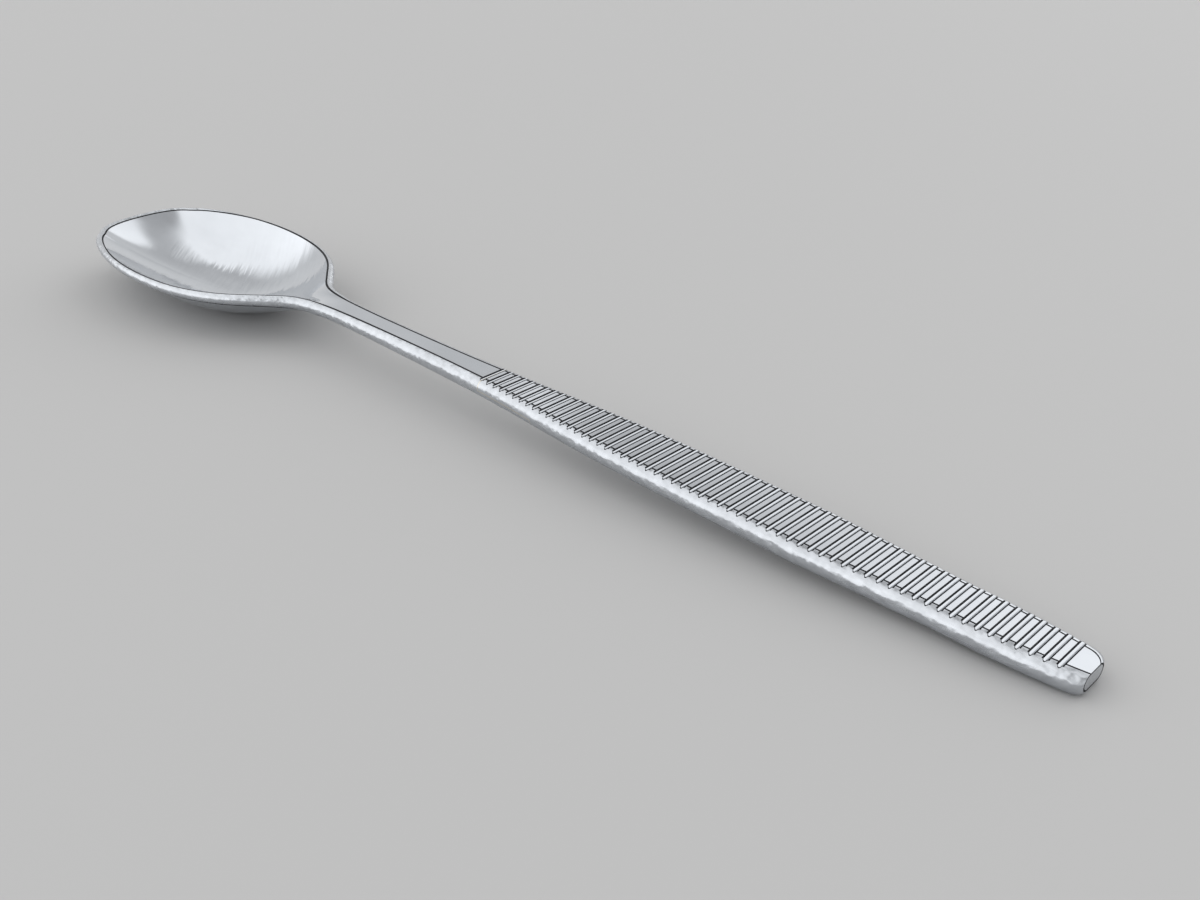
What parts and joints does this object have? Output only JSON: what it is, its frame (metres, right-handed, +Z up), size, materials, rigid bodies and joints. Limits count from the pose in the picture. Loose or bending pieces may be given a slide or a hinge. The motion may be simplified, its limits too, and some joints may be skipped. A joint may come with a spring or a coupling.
{
  "type": "teaspoon",
  "caption": "Slim polished steel teaspoon: a blunt egg-shaped dished bowl on a narrow neck, and a long leaf-shaped handle with fine grooves cut across it, for stirring and tasting.",
  "frame": {"origin": "on the table, under the middle of the spoon's length and width, with the spoon resting on its bowl and on the end of its handle", "axes": "+X along the spoon from the bowl to the handle's end, +Z up out of the open bowl"},
  "size_m": [0.1358, 0.022, 0.0061],
  "materials": {
    "bowl_steel": "polished",
    "handle_steel": "polished"
  },
  "bodies": {
    "root": {"bowl": "bowl_steel", "handle": "handle_steel"}
  },
  "joints": []
}
